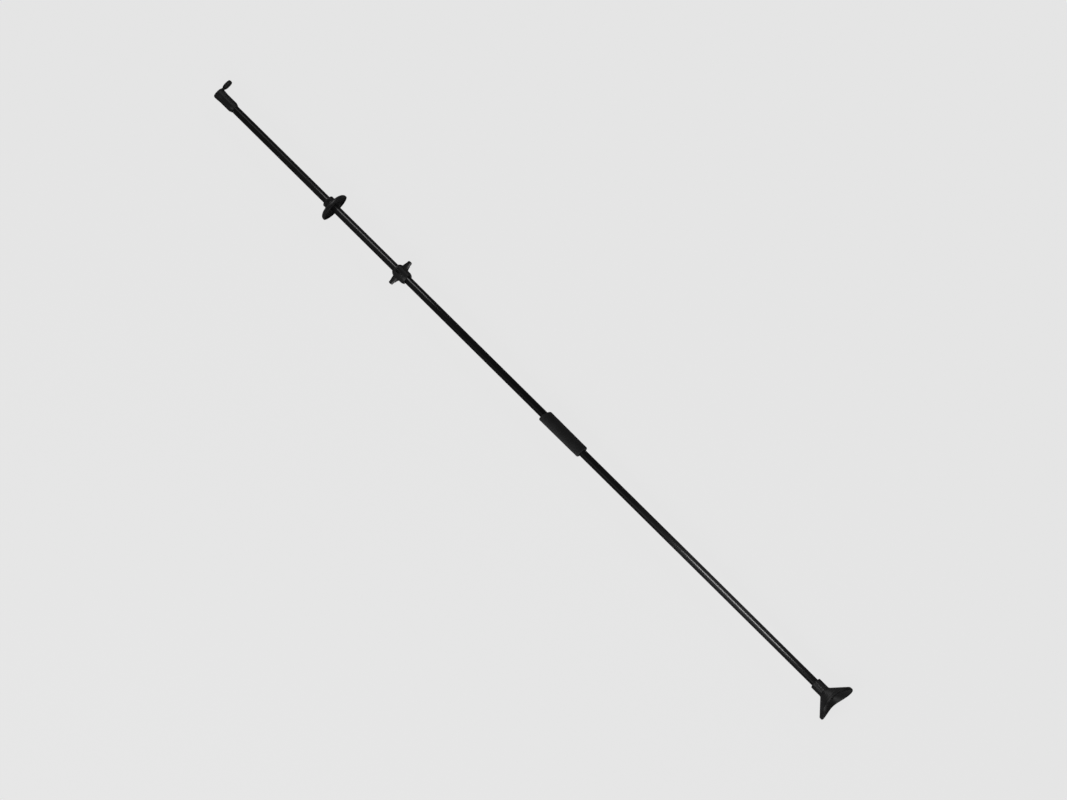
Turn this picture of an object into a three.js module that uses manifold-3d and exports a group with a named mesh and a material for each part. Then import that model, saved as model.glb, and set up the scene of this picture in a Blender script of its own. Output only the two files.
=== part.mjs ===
// A blowgun: a long straight tube with a sighted muzzle sleeve, a dart-tip guard, a dart clip,
// a foam grip and a flared mouthpiece.
// Millimetres, +Z up. The barrel lies along X, muzzle towards -X and mouthpiece towards +X,
// resting on the dart guard and the mouthpiece, whose longer tips point to +Y and -Y. Each sleeve
// can be turned on the tube: the sight ring and the clip's arms stand a little above +Y.
// Stations along the barrel are measured from the muzzle face.
import * as THREE from 'three';
import { mergeVertices } from 'three/addons/utils/BufferGeometryUtils.js';
import { ParametricGeometry } from 'three/addons/geometries/ParametricGeometry.js';
import Module from 'manifold-3d';

const LENGTH = 1524;
const AXIS_HEIGHT = 27.8;
const ROUND_STEPS = 32;
const RUNNING_GAP = 0.25;
const FACE_GAP = 0.3;

const TUBE_RADIUS = 7;
const BORE_RADIUS = 6.35;
const SLEEVE_BORE = TUBE_RADIUS + RUNNING_GAP;

const MUZZLE = {
  length: 42.6,
  lip: 3,
  lipBore: 6.6,
  frontRadius: 10.3,
  swellEnd: 8.5,
  backRadius: 9.55,
  backStart: 16,
  taperStart: 37.8,
  endRadius: 7.9,
  edgeDepth: 3,
  edgeRise: 2.2,
};

const SIGHT = {
  centre: 20.6,
  outer: 9.1,
  inner: 6.2,
  depth: 6.4,
  edge: 1.2,
  neckSetback: 0.4,
  neckFoot: 8.2,
  neckTop: 13.6,
  neckFootHalf: 5,
  neckTopHalf: 4.4,
  neckWaistHalf: 3,
  neckWaistAt: 11.4,
  turn: 16,
};

const GUARD = {
  start: 270.6,
  hubRadius: 10.9,
  hubEdge: 3,
  rim: 291,
  cupDepth: 10.8,
  cupRadius: AXIS_HEIGHT,
  cupSquareness: 2.5,
  wall: 2,
  arcSteps: 9,
};

const CLIP = {
  start: 439.2,
  end: 472.1,
  hubRadius: 11.5,
  noseRadius: 7.8,
  noseLength: 5,
  noseShoulder: 4,
  noseEase: 0.4,
  tailRadius: 7.4,
  tailLength: 9,
  saddleDepth: 5.5,
  saddleHalfSpan: 8.6,
  armRoot: 8.75,
  armWaist: 17,
  armShoulder: 18.6,
  armTip: 25.7,
  armFrontAtRoot: 445.7,
  armFrontAtWaist: 446.7,
  armFrontAtTip: 447.9,
  armBackAtRoot: 460.2,
  armBackAtWaist: 457.3,
  armBackAtTip: 455.9,
  armWidth: 6,
  tipRound: 2,
  slotWidth: 2.2,
  slotFloor: 18.5,
  arms: 4,
  turn: 19,
};

const GRIP = {
  start: 807,
  end: 899.1,
  startRadius: 12,
  endRadius: 11.6,
  startSlant: 13.5,
  endSlant: 5,
};

const MOUTH = {
  start: 1469.7,
  collarRadius: 10.4,
  collarEdge: 1.2,
  coneStart: 1492.4,
  coneRise: 1.045,
  shoulder: 1495.3,
  throat: 6.5,
  throatEnd: 1498.8,
  rimRound: 2,
  tipRadius: 37.6,
  saddleRadius: AXIS_HEIGHT,
  saddleDepth: 8.6,
  aroundSteps: 48,
};

const TUBE_START = MUZZLE.lip + FACE_GAP;
const TUBE_END = MOUTH.shoulder - FACE_GAP;

const manifoldModule = await Module();
manifoldModule.setup();

// --- helpers ---------------------------------------------------------------------------

// A solid of revolution about the barrel axis. Each point is [station, radius], and the outline
// closes on itself.
function turned(outline, steps = ROUND_STEPS) {
  const points = outline.map(([station, radius]) => new THREE.Vector2(radius, station));
  points.push(points[0].clone());
  const geometry = new THREE.LatheGeometry(points, steps);
  geometry.rotateZ(-Math.PI / 2);
  return geometry;
}

// Points along a quarter of an ellipse, from angle a to angle b in degrees.
function arc(centreStation, centreRadius, alongBarrel, across, a, b, steps) {
  const points = [];
  for (let i = 0; i <= steps; i += 1) {
    const angle = THREE.MathUtils.degToRad(a + ((b - a) * i) / steps);
    points.push([centreStation + alongBarrel * Math.cos(angle), centreRadius + across * Math.sin(angle)]);
  }
  return points;
}

function welded(geometry) {
  const bare = geometry.clone();
  bare.deleteAttribute('normal');
  bare.deleteAttribute('uv');
  return mergeVertices(bare, 1e-4);
}

function solid(geometry) {
  const closed = welded(geometry);
  return new manifoldModule.Manifold(new manifoldModule.Mesh({
    numProp: 3,
    vertProperties: new Float32Array(closed.attributes.position.array),
    triVerts: new Uint32Array(closed.index.array),
  }));
}

function geometryOf(manifold) {
  const mesh = manifold.getMesh();
  const geometry = new THREE.BufferGeometry();
  geometry.setAttribute('position', new THREE.BufferAttribute(new Float32Array(mesh.vertProperties), 3));
  geometry.setIndex(Array.from(mesh.triVerts));
  geometry.computeVertexNormals();
  return geometry;
}

// --- barrel ----------------------------------------------------------------------------

function barrelTube() {
  return turned([
    [TUBE_START, BORE_RADIUS],
    [TUBE_START, TUBE_RADIUS],
    [TUBE_END, TUBE_RADIUS],
    [TUBE_END, BORE_RADIUS],
  ]);
}

// --- muzzle sleeve and sight ring ------------------------------------------------------

function muzzleSleeve() {
  const { length, lip, lipBore, frontRadius, backRadius, endRadius, edgeDepth, edgeRise } = MUZZLE;
  return turned([
    [0, lipBore],
    ...arc(edgeDepth, frontRadius - edgeRise, edgeDepth, edgeRise, 180, 90, 4),
    [MUZZLE.swellEnd, frontRadius],
    [MUZZLE.backStart, backRadius],
    [MUZZLE.taperStart, backRadius],
    [length, endRadius],
    [length, SLEEVE_BORE],
    [lip, SLEEVE_BORE],
    [lip, lipBore],
  ]);
}

function sightRing() {
  const { inner, outer, depth, edge } = SIGHT;
  const ring = turned([
    [edge, inner],
    [0, inner + edge],
    [0, outer - edge],
    [edge, outer],
    [depth - edge, outer],
    [depth, outer - edge],
    [depth, inner + edge],
    [depth - edge, inner],
  ], 28);
  ring.translate(0, SIGHT.centre, 0);
  return ring;
}

// The web between sleeve and ring, waisted in the YZ plane.
function sightNeck() {
  const { neckFoot, neckTop, neckFootHalf, neckTopHalf, neckWaistHalf, neckWaistAt, neckSetback } = SIGHT;
  const outline = new THREE.Shape();
  outline.moveTo(neckFoot, -neckFootHalf);
  outline.quadraticCurveTo(neckWaistAt, -neckWaistHalf, neckTop, -neckTopHalf);
  outline.lineTo(neckTop, neckTopHalf);
  outline.quadraticCurveTo(neckWaistAt, neckWaistHalf, neckFoot, neckFootHalf);
  outline.closePath();
  const neck = new THREE.ExtrudeGeometry(outline, {
    depth: SIGHT.depth - 2 * neckSetback, curveSegments: 5, bevelEnabled: false,
  });
  // The outline's first axis becomes Y, its second Z, and the extrusion runs along X.
  neck.rotateX(Math.PI / 2);
  neck.rotateZ(Math.PI / 2);
  neck.translate(neckSetback, 0, 0);
  return neck;
}

function muzzleGuard() {
  const web = solid(sightNeck()).subtract(solid(turned([
    [-5, 0],
    [-5, TUBE_RADIUS + 1],
    [20, TUBE_RADIUS + 1],
    [20, 0],
  ])));
  const guard = geometryOf(solid(muzzleSleeve()).add(solid(sightRing())).add(web));
  return guard.rotateX(THREE.MathUtils.degToRad(SIGHT.turn));
}

// --- dart guard ------------------------------------------------------------------------

// The cup's section from a starting radius out to its rim: a quarter of a squarish ellipse.
function bowl(centreStation, depth, radius, startRadius) {
  const power = 2 / GUARD.cupSquareness;
  const first = Math.asin((startRadius / radius) ** (1 / power));
  const points = [];
  for (let i = 0; i <= GUARD.arcSteps; i += 1) {
    const turn = THREE.MathUtils.lerp(first, Math.PI / 2, i / GUARD.arcSteps);
    points.push([centreStation - depth * Math.cos(turn) ** power, radius * Math.sin(turn) ** power]);
  }
  return points;
}

function dartGuard() {
  const { start, hubRadius, hubEdge, rim, cupDepth, cupRadius, wall } = GUARD;
  const face = rim - wall / 2;
  return turned([
    [start, SLEEVE_BORE],
    ...arc(start + hubEdge, hubRadius - hubEdge, hubEdge, hubEdge, 180, 90, 4),
    ...bowl(face, cupDepth, cupRadius, hubRadius),
    [rim, cupRadius - wall / 2],
    ...bowl(face, cupDepth - wall, cupRadius - wall, SLEEVE_BORE).reverse(),
  ]);
}

// --- dart clip -------------------------------------------------------------------------

function clipHub() {
  const { start, end, hubRadius, noseRadius, noseLength, tailRadius, tailLength } = CLIP;
  // The tail is one arc, level where it leaves the hub and down to the tube's sleeve at the end.
  const drop = hubRadius - tailRadius;
  const tailArc = (tailLength ** 2 + drop ** 2) / (2 * drop);
  const lastAngle = THREE.MathUtils.radToDeg(Math.acos(tailLength / tailArc));
  return turned([
    [start, SLEEVE_BORE],
    [start, noseRadius],
    [start + CLIP.noseShoulder, hubRadius - CLIP.noseEase],
    [start + noseLength, hubRadius],
    ...arc(end - tailLength, hubRadius - tailArc, tailArc, tailArc, 90, lastAngle, 5),
    [end, SLEEVE_BORE],
  ]);
}

// One forked arm, standing along +Z, with a slot along X that a dart shaft snaps into.
function clipArm() {
  const { armRoot, armWaist, armTip, armFrontAtTip, armBackAtTip, tipRound } = CLIP;
  const outline = new THREE.Shape();
  outline.moveTo(CLIP.armFrontAtRoot, armRoot);
  outline.lineTo(CLIP.armFrontAtWaist, armWaist);
  outline.lineTo(armFrontAtTip, armTip - tipRound);
  outline.quadraticCurveTo(armFrontAtTip, armTip, armFrontAtTip + tipRound, armTip);
  outline.lineTo(armBackAtTip - tipRound, armTip);
  outline.quadraticCurveTo(armBackAtTip, armTip, armBackAtTip, armTip - tipRound);
  outline.lineTo(armBackAtTip, CLIP.armShoulder);
  outline.lineTo(CLIP.armBackAtWaist, armWaist);
  outline.lineTo(CLIP.armBackAtRoot, armRoot);
  outline.closePath();
  const arm = new THREE.ExtrudeGeometry(outline, {
    depth: CLIP.armWidth, curveSegments: 3, bevelEnabled: false,
  });
  // Drawn in X and radius, so the radius turns up to Z and the width lies along Y.
  arm.rotateX(Math.PI / 2);
  arm.translate(0, CLIP.armWidth / 2, 0);
  const slot = new THREE.BoxGeometry(30, CLIP.slotWidth, 20);
  slot.translate((armFrontAtTip + armBackAtTip) / 2, 0, CLIP.slotFloor + 10);
  return solid(arm).subtract(solid(slot));
}

function dartClip() {
  let body = solid(clipHub());
  const arm = geometryOf(clipArm());
  for (let i = 0; i < CLIP.arms; i += 1) {
    const placed = arm.clone();
    placed.rotateX(THREE.MathUtils.degToRad(CLIP.turn) + (i * 2 * Math.PI) / CLIP.arms);
    body = body.add(solid(placed));
  }
  // The end towards the mouthpiece is hollowed at the top and the bottom, like a saddle.
  const cutterRadius = (CLIP.saddleHalfSpan ** 2 + CLIP.saddleDepth ** 2) / (2 * CLIP.saddleDepth);
  const cutter = new THREE.CylinderGeometry(cutterRadius, cutterRadius, 60, 40);
  cutter.rotateX(Math.PI / 2);
  cutter.translate(CLIP.end - CLIP.saddleDepth + cutterRadius, 0, 0);
  return geometryOf(body.subtract(solid(cutter)));
}

// --- foam grip -------------------------------------------------------------------------

// A sleeve whose two end faces were sliced a little out of square, leaning in the XY plane.
function foamGrip() {
  const middle = (GRIP.start + GRIP.end) / 2;
  const geometry = turned([
    [GRIP.start, SLEEVE_BORE],
    [GRIP.start, GRIP.startRadius],
    [middle, GRIP.startRadius],
    [GRIP.end, GRIP.endRadius],
    [GRIP.end, SLEEVE_BORE],
    [middle, SLEEVE_BORE],
  ]);
  const startLean = Math.tan(THREE.MathUtils.degToRad(GRIP.startSlant));
  const endLean = Math.tan(THREE.MathUtils.degToRad(GRIP.endSlant));
  const position = geometry.attributes.position;
  for (let i = 0; i < position.count; i += 1) {
    const x = position.getX(i);
    const y = position.getY(i);
    if (x < GRIP.start + 1) position.setX(i, x + y * startLean);
    if (x > GRIP.end - 1) position.setX(i, x + y * endLean);
  }
  return geometry;
}

// --- mouthpiece ------------------------------------------------------------------------

// The outline at one angle about the barrel. The cone is longest at +Y and -Y and shortest at
// +Z and -Z, so its rim is a saddle that fits the face around the lips. The thick wall ends in
// a short straight brow and a rounded inner edge.
function mouthOutline(angle) {
  const { start, collarRadius, collarEdge, coneStart, coneRise, shoulder, throat, rimRound } = MOUTH;
  const towardsTip = Math.cos(angle) ** 2;
  const brow = THREE.MathUtils.lerp(MOUTH.saddleRadius, MOUTH.tipRadius, towardsTip);
  const rimStation = LENGTH - rimRound - MOUTH.saddleDepth * (1 - towardsTip);
  const innerSide = Math.atan(coneRise) - Math.PI / 2;
  const points = [
    [start, SLEEVE_BORE],
    ...arc(start + collarEdge, collarRadius - collarEdge, collarEdge, collarEdge, 180, 90, 3),
    [coneStart, collarRadius],
    [coneStart + (brow - collarRadius) / coneRise, brow],
  ];
  for (let i = 0; i <= 4; i += 1) {
    const turn = THREE.MathUtils.lerp(Math.PI / 2, innerSide, i / 4);
    points.push([rimStation + rimRound * Math.cos(turn), brow - rimRound + rimRound * Math.sin(turn)]);
  }
  points.push([MOUTH.throatEnd, throat], [shoulder, throat], [shoulder, SLEEVE_BORE]);
  return points;
}

function mouthpiece() {
  const count = mouthOutline(0).length;
  const surface = (around, along, target) => {
    const angle = around * 2 * Math.PI;
    const [station, radius] = mouthOutline(angle)[Math.round(along * count) % count];
    target.set(station, radius * Math.cos(angle), radius * Math.sin(angle));
  };
  return new ParametricGeometry(surface, MOUTH.aroundSteps, count);
}

// --- assembly --------------------------------------------------------------------------

const satinTube = new THREE.MeshStandardMaterial({ color: 0x17181a, roughness: 0.38, metalness: 0.6 });
const softPlastic = new THREE.MeshStandardMaterial({ color: 0x202123, roughness: 0.6, metalness: 0 });
const smoothPlastic = new THREE.MeshStandardMaterial({ color: 0x1b1c1e, roughness: 0.45, metalness: 0 });
const foam = new THREE.MeshStandardMaterial({ color: 0x26272a, roughness: 0.95, metalness: 0 });

const pieces = [
  ['barrel_tube', barrelTube(), satinTube],
  ['muzzle_guard', muzzleGuard(), softPlastic],
  ['dart_guard', dartGuard(), softPlastic],
  ['dart_clip', dartClip(), softPlastic],
  ['foam_grip', foamGrip(), foam],
  ['mouthpiece', mouthpiece(), smoothPlastic],
];

const blowgun = new THREE.Group();
blowgun.position.set(-LENGTH / 2, 0, AXIS_HEIGHT);
for (const [name, geometry, material] of pieces) {
  const mesh = new THREE.Mesh(geometry, material.clone());
  mesh.name = name;
  blowgun.add(mesh);
}

export default blowgun;
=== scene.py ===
# Looks for the blowgun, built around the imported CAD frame. Metres, +Z up. The barrel lies along X,
# muzzle towards -X and mouthpiece towards +X. The mouthpiece's long tips point to +Y and -Y, and
# the sight ring stands a little above +Y.
import math

import bmesh
import bpy
from mathutils import Matrix, Vector, noise


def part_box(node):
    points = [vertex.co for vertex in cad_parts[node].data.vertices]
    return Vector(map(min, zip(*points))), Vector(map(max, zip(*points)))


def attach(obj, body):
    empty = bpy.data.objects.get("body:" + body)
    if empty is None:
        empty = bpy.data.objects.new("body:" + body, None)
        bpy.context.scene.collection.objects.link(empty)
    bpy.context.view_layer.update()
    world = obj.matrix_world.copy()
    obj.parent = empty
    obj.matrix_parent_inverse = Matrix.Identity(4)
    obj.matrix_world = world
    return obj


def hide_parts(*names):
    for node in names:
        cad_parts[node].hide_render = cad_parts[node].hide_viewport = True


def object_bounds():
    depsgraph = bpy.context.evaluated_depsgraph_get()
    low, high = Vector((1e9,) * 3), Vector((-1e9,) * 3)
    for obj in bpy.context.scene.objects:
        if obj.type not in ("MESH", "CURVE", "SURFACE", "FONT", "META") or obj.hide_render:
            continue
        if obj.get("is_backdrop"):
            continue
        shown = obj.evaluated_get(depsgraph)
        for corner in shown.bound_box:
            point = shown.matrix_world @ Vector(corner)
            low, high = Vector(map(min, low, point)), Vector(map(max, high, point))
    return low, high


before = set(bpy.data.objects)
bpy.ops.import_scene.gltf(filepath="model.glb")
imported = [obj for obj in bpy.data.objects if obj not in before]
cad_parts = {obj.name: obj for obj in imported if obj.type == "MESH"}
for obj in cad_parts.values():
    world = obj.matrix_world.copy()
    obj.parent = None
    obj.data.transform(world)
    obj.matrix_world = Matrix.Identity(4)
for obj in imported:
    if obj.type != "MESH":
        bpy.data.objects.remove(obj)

CAD_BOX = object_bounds()

# --- dimensions that several pieces share ---------------------------------------------------

MM = 0.001
MUZZLE_X = CAD_BOX[0].x
MOUTH_X = CAD_BOX[1].x
TUBE_LOW, TUBE_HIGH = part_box("barrel_tube")
AXIS_Z = (TUBE_LOW.z + TUBE_HIGH.z) / 2
TUBE_RADIUS = (TUBE_HIGH.z - TUBE_LOW.z) / 2
SNUG = TUBE_RADIUS + 0.1 * MM  # the bore of everything that sits on the tube
BREAK = 0.2 * MM  # the broken edge where such a bore opens
SIGHT_TURN = math.radians(16)  # both turns are from +Y towards +Z
CLIP_TURN = math.radians(19)
SHARP_ANGLE = math.radians(35)  # edges that turn more than this are shaded sharp


def reach(node):
    """A node's first and last place along the barrel, and its largest radius across Y."""
    low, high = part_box(node)
    return low.x, high.x, max(high.y, -low.y)


# --- mesh helpers ---------------------------------------------------------------------------

def mesh_object(name, vertices, faces):
    """A new object in the scene, its face normals all pointing out."""
    mesh = bpy.data.meshes.new(name)
    mesh.from_pydata([tuple(v) for v in vertices], [], faces)
    piece = bpy.data.objects.new(name, mesh)
    bpy.context.scene.collection.objects.link(piece)
    edit(piece, lambda bm: bmesh.ops.recalc_face_normals(bm, faces=bm.faces))
    return piece


def edit(piece, change):
    """Runs change on the piece's mesh as a bmesh, and writes it back."""
    bm = bmesh.new()
    bm.from_mesh(piece.data)
    change(bm)
    bm.to_mesh(piece.data)
    bm.free()


def smooth(piece):
    for polygon in piece.data.polygons:
        polygon.use_smooth = True

    def mark(bm):
        for edge in bm.edges:
            edge.smooth = not (edge.is_manifold and edge.calc_face_angle(0) > SHARP_ANGLE)
    edit(piece, mark)


def applied(piece):
    """Replaces the piece's mesh by what its modifiers make of it."""
    depsgraph = bpy.context.evaluated_depsgraph_get()
    mesh = bpy.data.meshes.new_from_object(piece.evaluated_get(depsgraph))
    piece.modifiers.clear()
    piece.data = mesh
    mesh.name = piece.name
    return piece


def arc(centre_x, centre_r, along, across, start, end, steps):
    """Points (x, radius) on an ellipse, from one angle to another in degrees."""
    points = []
    for i in range(steps + 1):
        angle = math.radians(start + (end - start) * i / steps)
        points.append((centre_x + along * math.cos(angle), centre_r + across * math.sin(angle)))
    return points


def straight(first, last, steps):
    """Points strictly between two points of an outline."""
    across, up = last[0] - first[0], last[1] - first[1]
    return [(first[0] + across * i / steps, first[1] + up * i / steps) for i in range(1, steps)]


def eased(first, last, steps):
    """Points of an S-shaped run between two points of an outline, both ends included."""
    across, up = last[0] - first[0], last[1] - first[1]
    points = []
    for i in range(steps + 1):
        t = i / steps
        points.append((first[0] + across * t, first[1] + up * (t * t * (3 - 2 * t))))
    return points


def bent(first, corner, last, steps):
    """Points of a rounded corner between two points of an outline, both ends included."""
    points = []
    for i in range(steps + 1):
        t = i / steps
        a, b, c = (1 - t) ** 2, 2 * t * (1 - t), t * t
        points.append(tuple(a * p + b * q + c * r for p, q, r in zip(first, corner, last)))
    return points


def revolved(name, outline_at, around, centre_y=0.0):
    """A closed ring round an axis along X, at the barrel's height. outline_at(angle) gives one
    closed section's points (x, radius), the same number at every angle."""
    vertices = []
    for i in range(around):
        angle = 2 * math.pi * i / around
        c, s = math.cos(angle), math.sin(angle)
        for x, radius in outline_at(angle):
            vertices.append((x, centre_y + radius * c, AXIS_Z + radius * s))
    count = len(vertices) // around
    faces = []
    for i in range(around):
        for j in range(count):
            here, there = i * count, ((i + 1) % around) * count
            faces.append((here + j, here + (j + 1) % count, there + (j + 1) % count, there + j))
    return mesh_object(name, vertices, faces)


def turned(piece, angle):
    """Turns a piece's mesh about the barrel's axis, from +Y towards +Z."""
    lift = Matrix.Translation((0, 0, AXIS_Z))
    piece.data.transform(lift @ Matrix.Rotation(angle, 4, "X") @ lift.inverted())
    return piece


def rounded_loop(half_a, half_b, steps, power, far_power=None):
    """A superellipse as points (a, b). A power of 1 is a diamond, 2 an ellipse, and more is
    squarer. The half towards +a can have a power of its own."""
    points = []
    for i in range(steps):
        angle = 2 * math.pi * i / steps
        c, s = math.cos(angle), math.sin(angle)
        exponent = 2 / (far_power if far_power and c > 0 else power)
        points.append((
            half_a * math.copysign(abs(c) ** exponent, c),
            half_b * math.copysign(abs(s) ** exponent, s),
        ))
    return points


def lofted(name, sections):
    """A closed skin over sections of equal point counts, capped at both ends."""
    count = len(sections[0])
    vertices = [point for section in sections for point in section]
    faces = []
    for i in range(len(sections) - 1):
        for j in range(count):
            a, b = i * count, (i + 1) * count
            faces.append((a + j, a + (j + 1) % count, b + (j + 1) % count, b + j))
    faces.append(tuple(range(count)))
    faces.append(tuple(range(len(vertices) - count, len(vertices))))
    return mesh_object(name, vertices, faces)


def combined(target, others, operation):
    """Joins the others to the target, or cuts them from it, and removes them."""
    for other in others:
        modifier = target.modifiers.new("combine", "BOOLEAN")
        modifier.operation = operation
        modifier.solver = "EXACT"
        modifier.object = other
        applied(target)
        bpy.data.objects.remove(other)
    return target


def moulded(piece, rounds):
    """Melts a joined piece's seams and corners into small moulded fillets."""
    remesh = piece.modifiers.new("moulded", "REMESH")
    remesh.mode = "VOXEL"
    remesh.voxel_size = 0.3 * MM
    applied(piece)
    soften = piece.modifiers.new("soften", "SMOOTH")
    soften.factor = 0.5
    soften.iterations = rounds
    applied(piece)
    return piece


# --- materials ------------------------------------------------------------------------------

class Nodes:
    """A material with a Principled shader and short calls for the nodes that feed it."""

    def __init__(self, name):
        self.material = bpy.data.materials.new(name)
        self.material.use_nodes = True
        self.tree = self.material.node_tree
        self.shader = next(n for n in self.tree.nodes if n.type == "BSDF_PRINCIPLED")
        self.where = self.add("ShaderNodeTexCoord").outputs["Object"]

    def add(self, kind, **settings):
        node = self.tree.nodes.new(kind)
        for key, value in settings.items():
            setattr(node, key, value)
        return node

    def join(self, source, target):
        self.tree.links.new(source, target)

    def stretched(self, scale):
        """Object coordinates scaled along each axis. Below 1 draws a texture out."""
        mapping = self.add("ShaderNodeMapping")
        mapping.inputs["Scale"].default_value = scale
        self.join(self.where, mapping.inputs["Vector"])
        return mapping.outputs["Vector"]

    def noise(self, scale, detail, rough, where=None):
        node = self.add("ShaderNodeTexNoise")
        node.inputs["Scale"].default_value = scale
        node.inputs["Detail"].default_value = detail
        node.inputs["Roughness"].default_value = rough
        self.join(where or self.where, node.inputs["Vector"])
        return node.outputs["Fac"]

    def cells(self, scale):
        node = self.add("ShaderNodeTexVoronoi")
        node.inputs["Scale"].default_value = scale
        self.join(self.where, node.inputs["Vector"])
        return node.outputs["Distance"]

    def spread(self, value, low, high, new_low, new_high):
        """Maps a value from one range to another, and holds it there."""
        node = self.add("ShaderNodeMapRange")
        node.inputs["From Min"].default_value = low
        node.inputs["From Max"].default_value = high
        node.inputs["To Min"].default_value = new_low
        node.inputs["To Max"].default_value = new_high
        self.join(value, node.inputs["Value"])
        return node.outputs["Result"]

    def blend_colours(self, amount, first, second):
        node = self.add("ShaderNodeMix", data_type="RGBA")
        node.inputs["A"].default_value = (*first, 1)
        node.inputs["B"].default_value = (*second, 1)
        self.join(amount, node.inputs["Factor"])
        return node.outputs["Result"]

    def maths(self, operation, a, b):
        node = self.add("ShaderNodeMath", operation=operation)
        self.join(a, node.inputs[0])
        self.join(b, node.inputs[1])
        return node.outputs["Value"]

    def bump(self, height, distance, strength):
        node = self.add("ShaderNodeBump")
        node.inputs["Strength"].default_value = strength
        node.inputs["Distance"].default_value = distance
        self.join(height, node.inputs["Height"])
        return node.outputs["Normal"]

    def finish(self, colour, roughness, normal, ior):
        self.shader.inputs["IOR"].default_value = ior
        self.join(colour, self.shader.inputs["Base Color"])
        self.join(roughness, self.shader.inputs["Roughness"])
        self.join(normal, self.shader.inputs["Normal"])
        return self.material


def tube_black():
    """Satin black anodised aluminium, with faint drawing lines along it and rubbed patches."""
    n = Nodes("tube_black")
    lines = n.noise(900.0, 3.0, 0.6, n.stretched((0.012, 1.0, 1.0)))
    patches = n.noise(22.0, 5.0, 0.6)
    rubbed = n.spread(patches, 0.35, 0.7, 0.0, 1.0)
    colour = n.blend_colours(rubbed, (0.0085, 0.0085, 0.0088), (0.0125, 0.0125, 0.0128))
    drawn = n.spread(lines, 0.3, 0.7, 0.23, 0.28)
    roughness = n.maths("ADD", drawn, n.spread(patches, 0.3, 0.7, -0.02, 0.03))
    return n.finish(colour, roughness, n.bump(lines, 0.02 * MM, 0.5), 1.5)


def moulded_black():
    """Injection-moulded black plastic with a fine spark-eroded grain."""
    n = Nodes("moulded_black")
    grain = n.noise(2600.0, 3.0, 0.6)
    clouds = n.noise(70.0, 4.0, 0.55)
    mottle = n.spread(clouds, 0.35, 0.7, 0.0, 1.0)
    colour = n.blend_colours(mottle, (0.0135, 0.0135, 0.0138), (0.0185, 0.0185, 0.019))
    roughness = n.spread(clouds, 0.3, 0.7, 0.38, 0.46)
    return n.finish(colour, roughness, n.bump(grain, 0.035 * MM, 0.6), 1.48)


def mouthpiece_black():
    """A smoother black moulding, with faint flow marks round the cone."""
    n = Nodes("mouthpiece_black")
    grain = n.noise(1800.0, 3.0, 0.55)
    flow = n.noise(45.0, 5.0, 0.6, n.stretched((3.0, 1.0, 1.0)))
    marks = n.spread(flow, 0.35, 0.7, 0.0, 1.0)
    colour = n.blend_colours(marks, (0.0125, 0.0125, 0.0128), (0.017, 0.017, 0.0175))
    roughness = n.spread(flow, 0.3, 0.7, 0.36, 0.44)
    return n.finish(colour, roughness, n.bump(grain, 0.02 * MM, 0.5), 1.5)


def foam_black():
    """Closed-cell foam: cut cells show as fine hollows in the bump, and the colour is painted darker
    inside each hollow as painted shade, so the cell walls come out slightly lighter.
    """
    n = Nodes("foam_black")
    cells = n.cells(1150.0)
    small = n.cells(2600.0)
    clouds = n.noise(120.0, 4.0, 0.6)
    # The cells' distance gives both the hollows of the bump and the painted shade inside them.
    pit_depth_and_shade = n.maths("ADD", n.spread(cells, 0.0, 0.6, 0.0, 1.0), n.spread(small, 0.0, 0.6, 0.0, 0.4))
    # Painted shade: the colour is darkest where the cut cells sink, and the clouds vary the tone at
    # random.
    pit_shade_and_tone = n.maths("MULTIPLY", pit_depth_and_shade, n.spread(clouds, 0.3, 0.7, 0.5, 0.9))
    colour = n.blend_colours(pit_shade_and_tone, (0.014, 0.014, 0.0142), (0.057, 0.057, 0.058))
    roughness = n.spread(clouds, 0.3, 0.7, 0.88, 0.97)
    return n.finish(colour, roughness, n.bump(pit_depth_and_shade, 0.12 * MM, 0.8), 1.3)


# --- the pieces -----------------------------------------------------------------------------

def barrel_tube():
    """An open tube, the outer edges of its cut ends broken."""
    first, last = TUBE_LOW.x, TUBE_HIGH.x
    edge, wall, lengths = 0.2 * MM, 0.65 * MM, 30
    inner = TUBE_RADIUS - wall
    outline = [(first, inner), (first, TUBE_RADIUS - edge), (first + edge, TUBE_RADIUS)]
    outline += straight((first + edge, TUBE_RADIUS), (last - edge, TUBE_RADIUS), lengths)
    outline += [(last - edge, TUBE_RADIUS), (last, TUBE_RADIUS - edge), (last, inner)]
    outline += straight((last, inner), (first, inner), lengths)
    return revolved("tube", lambda angle: outline, 128)


def muzzle_sleeve(first, last):
    """A sleeve with a swollen, well-rounded front, tapering off short of the bare tube."""
    front, back, end = 10.3 * MM, 9.55 * MM, 7.95 * MM
    swell_end, back_start = first + 7 * MM, first + 16 * MM
    taper, taper_eased, taper_drop = first + 37 * MM, first + 38.4 * MM, 0.3 * MM
    stop, stop_bore, stop_edge = first + 3 * MM, 6.6 * MM, 0.5 * MM
    nose_deep, nose_rise = 3 * MM, 2.2 * MM
    end_deep, end_rise, bore_edge = 0.4 * MM, 0.3 * MM, 0.15 * MM
    outline = [(first + stop_edge, stop_bore), (first, stop_bore + stop_edge)]
    outline += arc(first + nose_deep, front - nose_rise, nose_deep, nose_rise, 180, 90, 12)
    outline += eased((swell_end, front), (back_start, back), 8)
    outline += eased((taper, back), (taper_eased, back - taper_drop), 3)
    outline += arc(last - end_deep, end - end_rise, end_deep, end_rise, 75, 0, 4)
    outline += [(last, SNUG + bore_edge), (last - bore_edge, SNUG), (stop, SNUG), (stop, stop_bore)]
    return revolved("muzzle_sleeve", lambda angle: outline, 160)


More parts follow.
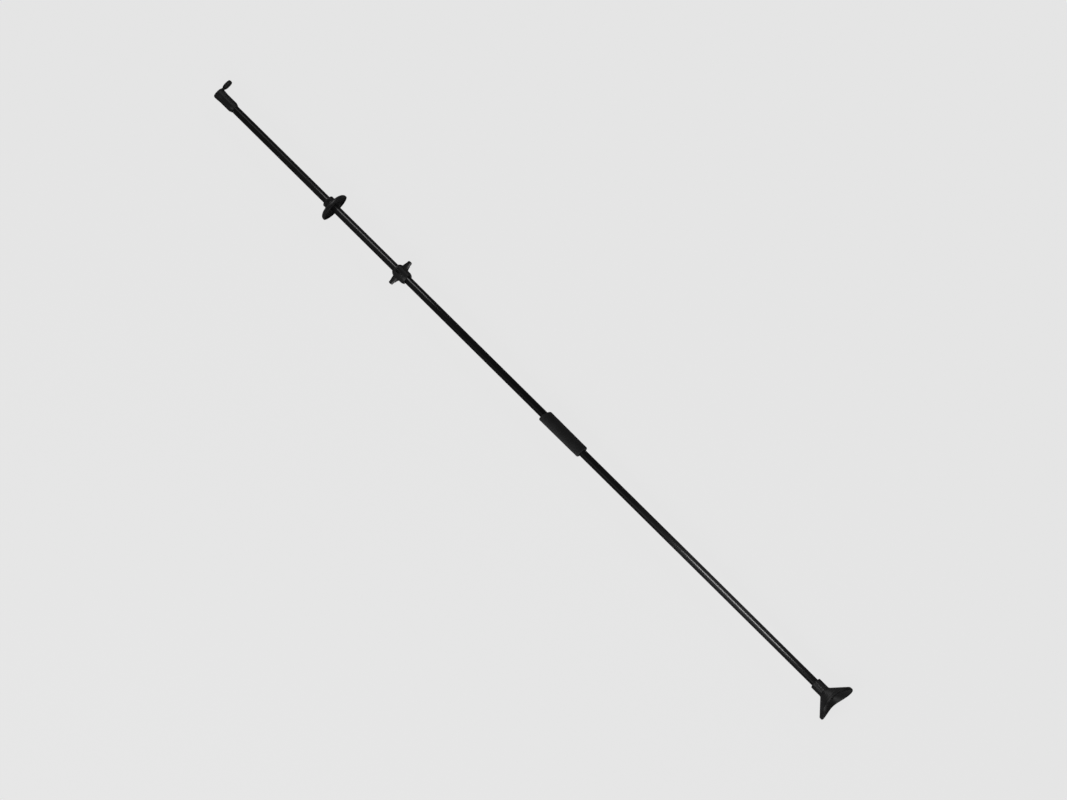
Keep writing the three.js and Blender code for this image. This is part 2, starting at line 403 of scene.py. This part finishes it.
def sight_ring(first, centre, depth):
    """The ring's section is a fat rounded band, deeper along the barrel than it is thick."""
    outer, inner = 9.1 * MM, 6.2 * MM
    middle, half_thick = (outer + inner) / 2, (outer - inner) / 2
    loop = rounded_loop(depth / 2, half_thick, steps=32, power=2.8)
    section = [(first + depth / 2 + a, middle + b) for a, b in loop]
    return revolved("sight_ring", lambda angle: section, 96, centre_y=centre)


def sight_neck(first, foot, top, depth):
    """The short web between the sleeve and the ring, slimmer halfway than at its ends. Its waist
    and insets are in millimetres."""
    waist, waist_flare, inset, waist_inset = 3.6, 1.3, 0.3, 0.35
    steps = 14
    sections = []
    for i in range(steps + 1):
        t = i / steps
        y = foot + (top - foot) * t
        flare = (2 * abs(t - 0.5)) ** 2
        half_width = (waist + waist_flare * flare) * MM
        half_depth = depth / 2 - (inset + waist_inset * (1 - flare)) * MM
        loop = rounded_loop(half_depth, half_width, steps=36, power=3.2)
        sections.append([(first + depth / 2 + a, y, AXIS_Z + b) for a, b in loop])
    return lofted("sight_neck", sections)


def muzzle_guard():
    """The sleeve and the sight ring, moulded in one. The ring is drawn on +Y and then turned."""
    first, last, _ = reach("muzzle_guard")
    depth, ring_centre = 6.4 * MM, 20.6 * MM
    neck_foot, neck_top = 8.2 * MM, ring_centre - 6.9 * MM
    sleeve = muzzle_sleeve(first, last)
    neck = sight_neck(first, neck_foot, neck_top, depth)
    piece = combined(sleeve, [neck, sight_ring(first, ring_centre, depth)], "UNION")
    piece.name = "muzzle_sleeve_and_sight"
    return turned(moulded(piece, 5), SIGHT_TURN)


def bowl(face, depth, radius, start_radius):
    """The cup's section from a starting radius out to its rim: part of a squarish ellipse."""
    squareness, last, steps = 2.5, math.radians(84), 30
    power = 2 / squareness
    first = math.asin((start_radius / radius) ** (1 / power))
    points = []
    for i in range(steps + 1):
        turn = first + (last - first) * i / steps
        points.append((face - depth * math.cos(turn) ** power, radius * math.sin(turn) ** power))
    return points


def dart_guard():
    """A cup with a rounded bead along its rim and a short round-edged hub behind it."""
    first, last, cup = reach("dart_guard")
    hub, hub_edge, trim = 10.9 * MM, 3 * MM, 0.1 * MM
    depth, wall, bead, fillet = 10.8 * MM, 2 * MM, 1.25 * MM, 0.9 * MM
    face = last - wall / 2
    floor_radius, floor_edge, floor_share = SNUG + 0.8 * MM, 0.15 * MM, 0.985
    throat = face - (depth - wall) * floor_share
    back = bowl(face, depth, cup - trim, hub + fillet)
    outline = [(first, SNUG + BREAK), (first, hub - hub_edge - trim)]
    outline += arc(first + hub_edge, hub - hub_edge, hub_edge, hub_edge, 172, 90, 12)
    outline += eased((back[0][0] - fillet, hub), back[0], 3)
    outline += back[1:]
    outline += arc(last - bead, cup - bead, bead, bead, 105, -70, 12)
    outline += bowl(face, depth - wall, cup - wall, floor_radius)[::-1]
    outline += [(throat + floor_edge, SNUG + BREAK), (throat, SNUG), (first + BREAK, SNUG)]
    return revolved("guard_cup", lambda angle: outline, 160)


def arm_section(start, radius, front, back, half_width):
    """An arm's section at one radius: square on the muzzle side, wedge-shaped on the other. All
    but start are in millimetres, and front and back are measured from the hub's start."""
    middle, half = (front + back) / 2, (back - front) / 2
    loop = rounded_loop(half, half_width, steps=40, power=4.2, far_power=1.6)
    return [(start + (middle + a) * MM, b * MM, AXIS_Z + radius * MM) for a, b in loop]


def arm_slot(start, floor, tip):
    """The slot a dart's shaft snaps into, narrow at its floor and flared at its mouth. All but
    start are in millimetres."""
    middle, half_length = 12.7, 14
    depths_and_half_widths = (
        (0.0, 0.4), (0.35, 0.9), (0.9, 1.1), (tip - floor - 2, 1.1), (tip - floor + 3, 2.6),
    )
    sections = []
    for depth, half_width in depths_and_half_widths:
        z = AXIS_Z + (floor + depth) * MM
        loop = rounded_loop(half_length, half_width, steps=24, power=8.0)
        sections.append([(start + (middle + a) * MM, b * MM, z) for a, b in loop])
    return lofted("slot", sections)


def clip_arm(name, start, quarter):
    """One forked arm, drawn along +Z and turned to its place round the barrel. The stations are
    the arguments of arm_section, from the root out."""
    stations = (
        (8.4, 5.6, 21.9, 4.6),
        (11.2, 6.3, 20.4, 3.9),
        (13.5, 6.8, 19.1, 3.3),
        (16.6, 7.4, 18.2, 3.0),
        (18.0, 7.8, 18.0, 3.0),
        (18.8, 8.0, 17.6, 3.0),
        (21.5, 8.5, 17.3, 3.0),
        (23.8, 8.6, 17.2, 3.0),
    )
    slot_floor, tip, tip_steps = 18.5, 25.7, 6
    tip_shrink, width_share = 1.9, 0.6
    sections = [arm_section(start, *station) for station in stations]
    radius, front, back, half_width = stations[-1]
    for i in range(1, tip_steps + 1):
        turn = math.radians(90 * i / tip_steps)
        shrink = tip_shrink * (1 - math.cos(turn))
        sections.append(arm_section(
            start, radius + (tip - radius) * math.sin(turn), front + shrink, back - shrink,
            half_width - width_share * shrink,
        ))
    arm = lofted(name, sections)
    combined(arm, [arm_slot(start, slot_floor, tip)], "DIFFERENCE")
    return turned(arm, CLIP_TURN + quarter * math.pi / 2)


def dart_clip():
    """A hub with four forked arms, its tail hollowed above and below like a saddle."""
    first, _, _ = reach("dart_clip")
    hub, nose, tail = 11.5 * MM, 7.9 * MM, 7.5 * MM
    nose_inner, nose_outer = (first, nose - 0.2 * MM), (first + 0.25 * MM, nose + 0.1 * MM)
    swell_start, swell_end, swell = first + 3.4 * MM, first + 5.6 * MM, 0.8 * MM
    saddle, half_span, tail_length = 5.5 * MM, 8.6 * MM, 9 * MM
    end = first + 32.9 * MM
    tail_arc = (tail_length ** 2 + (hub - tail) ** 2) / (2 * (hub - tail))
    last_angle = math.degrees(math.acos(tail_length / tail_arc))
    outline = [(first, SNUG + BREAK), nose_inner, nose_outer]
    outline += eased((swell_start, hub - swell), (swell_end, hub), 5)
    outline += arc(end - tail_length, hub - tail_arc, tail_arc, tail_arc, 90, last_angle, 14)
    outline += [(end, SNUG), (first + BREAK, SNUG)]
    piece = revolved("clip_hub_and_arms", lambda angle: outline, 160)
    arms = [clip_arm(f"arm_{i}", first, i) for i in range(4)]
    combined(piece, arms, "UNION")
    saddle_radius = (half_span ** 2 + saddle ** 2) / (2 * saddle)
    cutters = [bore_cutter(first, end), saddle_cutter(end - saddle + saddle_radius, saddle_radius)]
    combined(piece, cutters, "DIFFERENCE")
    return moulded(piece, 6)


def circle(radius, steps):
    """Points round a circle about the origin, as pairs."""
    turns = [2 * math.pi * i / steps for i in range(steps)]
    return [(radius * math.cos(turn), radius * math.sin(turn)) for turn in turns]


def bore_cutter(first, last):
    """A rod along the barrel, a little longer than the bore it cuts."""
    spare = 5 * MM
    return lofted("bore", [
        [(x, a, AXIS_Z + b) for a, b in circle(SNUG, 96)] for x in (first - spare, last + spare)
    ])


def saddle_cutter(x, radius):
    """An upright rod through the clip's tail."""
    half_height = 40 * MM
    return lofted("saddle", [
        [(x + a, b, z) for a, b in circle(radius, 128)]
        for z in (AXIS_Z - half_height, AXIS_Z + half_height)
    ])


def foam_grip():
    """A foam sleeve, its ends sliced out of square, its skin a little uneven."""
    low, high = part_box("foam_grip")
    start_radius, end_radius = high.y, high.y - 0.4 * MM
    start_lean, end_lean = math.tan(math.radians(13.5)), math.tan(math.radians(5.0))
    first, last = low.x + start_radius * start_lean, high.x - end_radius * end_lean
    edge, skin_depth = 2.2 * MM, 1 * MM
    square = [(first, SNUG)]
    square += arc(first + edge, start_radius - edge, edge, edge, 180, 90, 5)
    square += straight((first + edge, start_radius), (last - edge, end_radius), 150)
    square += arc(last - edge, end_radius - edge, edge, edge, 90, 0, 5)
    square += [(last, SNUG)]
    square += straight((last, SNUG), (first, SNUG), 40)

    def lean_at(t):
        """The ends' slant. Each fades out over the nearest sixth of the length."""
        return start_lean * max(0.0, 1 - 6 * t) + end_lean * max(0.0, 6 * t - 5)

    def dent_at(x, angle):
        """Broad shallow dents in the skin, with finer ones on them."""
        spot = Vector((90 * x, 0.9 * math.cos(angle), 0.9 * math.sin(angle)))
        return 0.14 * MM * noise.noise(1.3 * spot) + 0.05 * MM * noise.noise(6 * spot)

    def outline_at(angle):
        points = []
        for x, radius in square:
            lean = lean_at((x - first) / (last - first)) * radius * math.cos(angle)
            dent = dent_at(x, angle) if radius > SNUG + skin_depth else 0.0
            points.append((x + lean, radius + dent))
        return points
    return revolved("grip_foam", outline_at, 144)


def mouthpiece():
    """A thick-walled cone, longest at its two side tips, with a rounded saddle rim."""
    first, last, tip = reach("mouthpiece")
    saddle = AXIS_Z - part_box("mouthpiece")[0].z
    collar, edge, throat, rim = 10.4 * MM, 1.2 * MM, 6.5 * MM, 2 * MM
    shoulder, throat_end = last - 28.7 * MM, last - 25.2 * MM
    cone_start, rise, saddle_depth = last - 31.6 * MM, 1.045, 8.6 * MM
    tip_corner, saddle_corner, ease = 0.9, 3.0, 1.4 * MM
    slope = math.atan(rise)
    down_cone = (math.cos(slope), math.sin(slope))
    ease_start = (cone_start - ease, collar)
    ease_end = (cone_start + ease * down_cone[0], collar + ease * down_cone[1])
    bowl_end, throat_start = (throat_end + 1 * MM, throat + 1 * MM), (throat_end - 1.2 * MM, throat)

    def outline_at(angle):
        towards_tip = math.cos(angle) ** 2
        brow = saddle + (tip - saddle) * towards_tip
        rim_x = last - rim - saddle_depth * (1 - towards_tip)
        brow_x = cone_start + (brow - collar) / rise
        corner = (tip_corner + (saddle_corner - tip_corner) * (1 - towards_tip)) * MM
        corner_start = (brow_x - corner * down_cone[0], brow - corner * down_cone[1])
        points = [(first, SNUG + BREAK)]
        points += arc(first + edge, collar - edge, edge, edge, 180, 90, 8)
        points += straight((first + edge, collar), ease_start, 12)
        points += eased(ease_start, ease_end, 5)
        points += straight(ease_end, corner_start, 26)
        points += bent(corner_start, (brow_x, brow), (brow_x + corner, brow), 5)
        points += straight(points[-1], (rim_x, brow), 4)
        points += arc(rim_x, brow - rim, rim, rim, 90, math.degrees(slope) - 90, 14)
        points += straight(points[-1], bowl_end, 26)
        points += bent(bowl_end, (throat_end, throat), throat_start, 4)
        points += [(shoulder, throat), (shoulder, SNUG), (first + BREAK, SNUG)]
        return points
    return revolved("mouth_cone", outline_at, 192)


# --- stage, lights and camera ---------------------------------------------------------------

VIEW_TILT = math.radians(12.0)  # the camera's lean from straight above, towards +X
VIEW_ROLL = math.radians(14.3)  # and towards -Y
BAR_SLANT = math.radians(44.67)  # the bar's slope in the picture
CAMERA_DISTANCE = 40.0
VIEW_WIDTH = 1.8246  # what the frame spans at the bar
AIM_RIGHT, AIM_UP = 0.0121, -0.0045  # the frame's centre, from the bar's middle
BACKGROUND = 0.787  # the pale grey behind the bar
FLOOR_SIZE = 80.0
FLOOR_GLOW = 0.97 * BACKGROUND  # the lights on the floor add the rest
STUDIO_GLOW = 0.07  # the even light from all round
STRIP_HEIGHT, STRIP_WIDTH = 0.17, 0.045  # above the barrel's axis, and across the bar


def view_axes():
    """Directions along the bar and across it as the camera sees them, and towards the camera."""
    along = Vector((
        math.cos(VIEW_TILT),
        math.sin(VIEW_ROLL) * math.sin(VIEW_TILT),
        -math.cos(VIEW_ROLL) * math.sin(VIEW_TILT),
    ))
    across = Vector((0, math.cos(VIEW_ROLL), math.sin(VIEW_ROLL)))
    return along, across, along.cross(across)


def placed(right, up, back, place):
    """The matrix of a camera or light at place, looking away from back."""
    matrix = Matrix((right, up, back)).transposed().to_4x4()
    matrix.translation = place
    return matrix


def camera():
    """A long lens from far off, because the photo is close to parallel."""
    along, across, back = view_axes()
    right = math.cos(BAR_SLANT) * along + math.sin(BAR_SLANT) * across
    up = -math.sin(BAR_SLANT) * along + math.cos(BAR_SLANT) * across
    middle = Vector(((MUZZLE_X + MOUTH_X) / 2, 0, AXIS_Z)) + AIM_RIGHT * right + AIM_UP * up
    data = bpy.data.cameras.new("camera")
    data.sensor_width = 36.0
    data.lens = data.sensor_width * CAMERA_DISTANCE / VIEW_WIDTH
    data.clip_end = 5 * CAMERA_DISTANCE
    eye = bpy.data.objects.new("camera", data)
    eye.matrix_world = placed(right, up, back, middle + CAMERA_DISTANCE * back)
    bpy.context.scene.collection.objects.link(eye)
    bpy.context.scene.camera = eye


def floor():
    """A plain surface that mostly glows, so that it stays as even as the photo's background."""
    bpy.ops.mesh.primitive_plane_add(size=FLOOR_SIZE, location=(0, 0, 0))
    plane = bpy.context.object
    plane.name = "floor"
    material = bpy.data.materials.new("floor")
    material.use_nodes = True
    shader = material.node_tree.nodes["Principled BSDF"]
    shader.inputs["Base Color"].default_value = (0.12, 0.12, 0.12, 1)
    shader.inputs["Roughness"].default_value = 1.0
    shader.inputs["Specular IOR Level"].default_value = 0.0
    shader.inputs["Emission Color"].default_value = (1, 1, 1, 1)
    shader.inputs["Emission Strength"].default_value = FLOOR_GLOW
    plane.data.materials.append(material)
    plane.visible_glossy = False
    plane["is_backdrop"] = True
    return plane


def softbox(name, place, target, size, radiance, receivers):
    """A rectangular light at place, facing target, that lights the receivers only. size is along
    X and across it."""
    data = bpy.data.lights.new(name, "AREA")
    data.shape = "RECTANGLE"
    data.size, data.size_y = size
    data.energy = radiance * math.pi * size[0] * size[1]
    light = bpy.data.objects.new(name, data)
    back = (Vector(place) - Vector(target)).normalized()
    side = (Vector((1, 0, 0)) - back.x * back).normalized()
    light.matrix_world = placed(side, back.cross(side), back, Vector(place))
    light.visible_camera = False
    light.light_linking.receiver_collection = receivers
    bpy.context.scene.collection.objects.link(light)


def mirrored_place(x, height, lean):
    """The place above the bar at x that the camera sees mirrored in the tube, where the tube's
    skin leans from straight up towards -Y by the angle given."""
    _, _, back = view_axes()
    skin = Vector((0, -math.sin(lean), math.cos(lean)))
    ray = 2 * back.dot(skin) * skin - back
    return Vector((x, 0, AXIS_Z)) + height / ray.z * ray


def collection_of(name, things):
    group = bpy.data.collections.new(name)
    for thing in things:
        group.objects.link(thing)
    return group


def lights(pieces, plane):
    """Strips above the bar give the tube its bright stretches, boxes past its ends light the
    slopes that face them, and key and fill light everything softly."""
    tube, muzzle, guard, clip, grip, mouth = pieces
    whole_bar = collection_of("lit_whole_bar", pieces)
    muzzle_side = collection_of("lit_muzzle_side", [muzzle, guard, clip, mouth])
    clip_only = collection_of("lit_clip", [clip])
    mouth_only = collection_of("lit_mouthpiece", [mouth])
    tube_only = collection_of("lit_tube", [tube])
    not_tube = collection_of("lit_all_but_tube", [muzzle, guard, clip, grip, mouth, plane])
    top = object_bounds()[1].z
    strips = (  # name, middle along the bar, length, radiance, lean in degrees, receivers
        ("strip_muzzle", -0.680, 0.290, 1.0, 0.0, whole_bar),
        ("strip_front", -0.374, 0.270, 4.9, 1.6, tube_only),
        ("strip_back", 0.522, 0.245, 14.8, 10.1, tube_only),
        ("strip_mouth", 0.722, 0.050, 4.0, 8.0, mouth_only),
    )
    for name, middle, length, radiance, lean, receivers in strips:
        place = mirrored_place(middle, STRIP_HEIGHT, math.radians(lean))
        softbox(name, place, (place.x, 0, top), (length, STRIP_WIDTH), radiance, receivers)
    key, key_size, origin = (0.6, -1.9, 1.5), (2.2, 1.0), (0, 0, 0)
    softbox("muzzle_end", (-3.6, 0.6, 0.25), (-0.4, 0, top), (0.7, 0.7), 9.0, muzzle_side)
    softbox("mouth_end", (3.4, -0.9, 0.25), (0.7, 0, top), (0.4, 0.4), 11.0, mouth_only)
    softbox("clip_side", (1.85, -0.9, 1.93), (-0.3, 0, top), (0.7, 0.7), 20.0, clip_only)
    softbox("key", key, origin, key_size, 1.6, not_tube)
    softbox("fill", (-0.5, 2.2, 1.9), origin, (2.0, 0.8), 0.8, not_tube)
    softbox("tube_key", key, origin, key_size, 0.5, tube_only)


def surroundings():
    """The camera sees the background's grey, and everything else gets the studio's faint glow."""
    world = bpy.data.worlds.new("studio")
    bpy.context.scene.world = world
    world.use_nodes = True
    tree = world.node_tree
    background = tree.nodes["Background"]
    seen = tree.nodes.new("ShaderNodeLightPath")
    grey = tree.nodes.new("ShaderNodeMapRange")
    grey.inputs["To Min"].default_value = STUDIO_GLOW
    grey.inputs["To Max"].default_value = BACKGROUND
    tree.links.new(seen.outputs["Is Camera Ray"], grey.inputs["Value"])
    tree.links.new(grey.outputs["Result"], background.inputs["Strength"])
    background.inputs["Color"].default_value = (1, 1, 1, 1)
    bpy.context.scene.view_settings.view_transform = "Standard"


# --- assembly -------------------------------------------------------------------------------

MOULDED = moulded_black()
PIECES = (  # CAD node, body, slot, builder, material
    ("barrel_tube", "barrel", "tube_black", barrel_tube, tube_black()),
    ("muzzle_guard", "muzzle_guard", "moulded_black", muzzle_guard, MOULDED),
    ("dart_guard", "dart_guard", "moulded_black", dart_guard, MOULDED),
    ("dart_clip", "dart_clip", "moulded_black", dart_clip, MOULDED),
    ("foam_grip", "grip", "foam_black", foam_grip, foam_black()),
    ("mouthpiece", "mouthpiece", "mouthpiece_black", mouthpiece, mouthpiece_black()),
)

built = []
for node, body, slot, build, material in PIECES:
    piece = build()
    smooth(piece)
    piece.data.materials.clear()
    piece.data.materials.append(material)
    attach(piece, body)
    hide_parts(node)
    built.append(piece)

surroundings()
lights(built, floor())
camera()
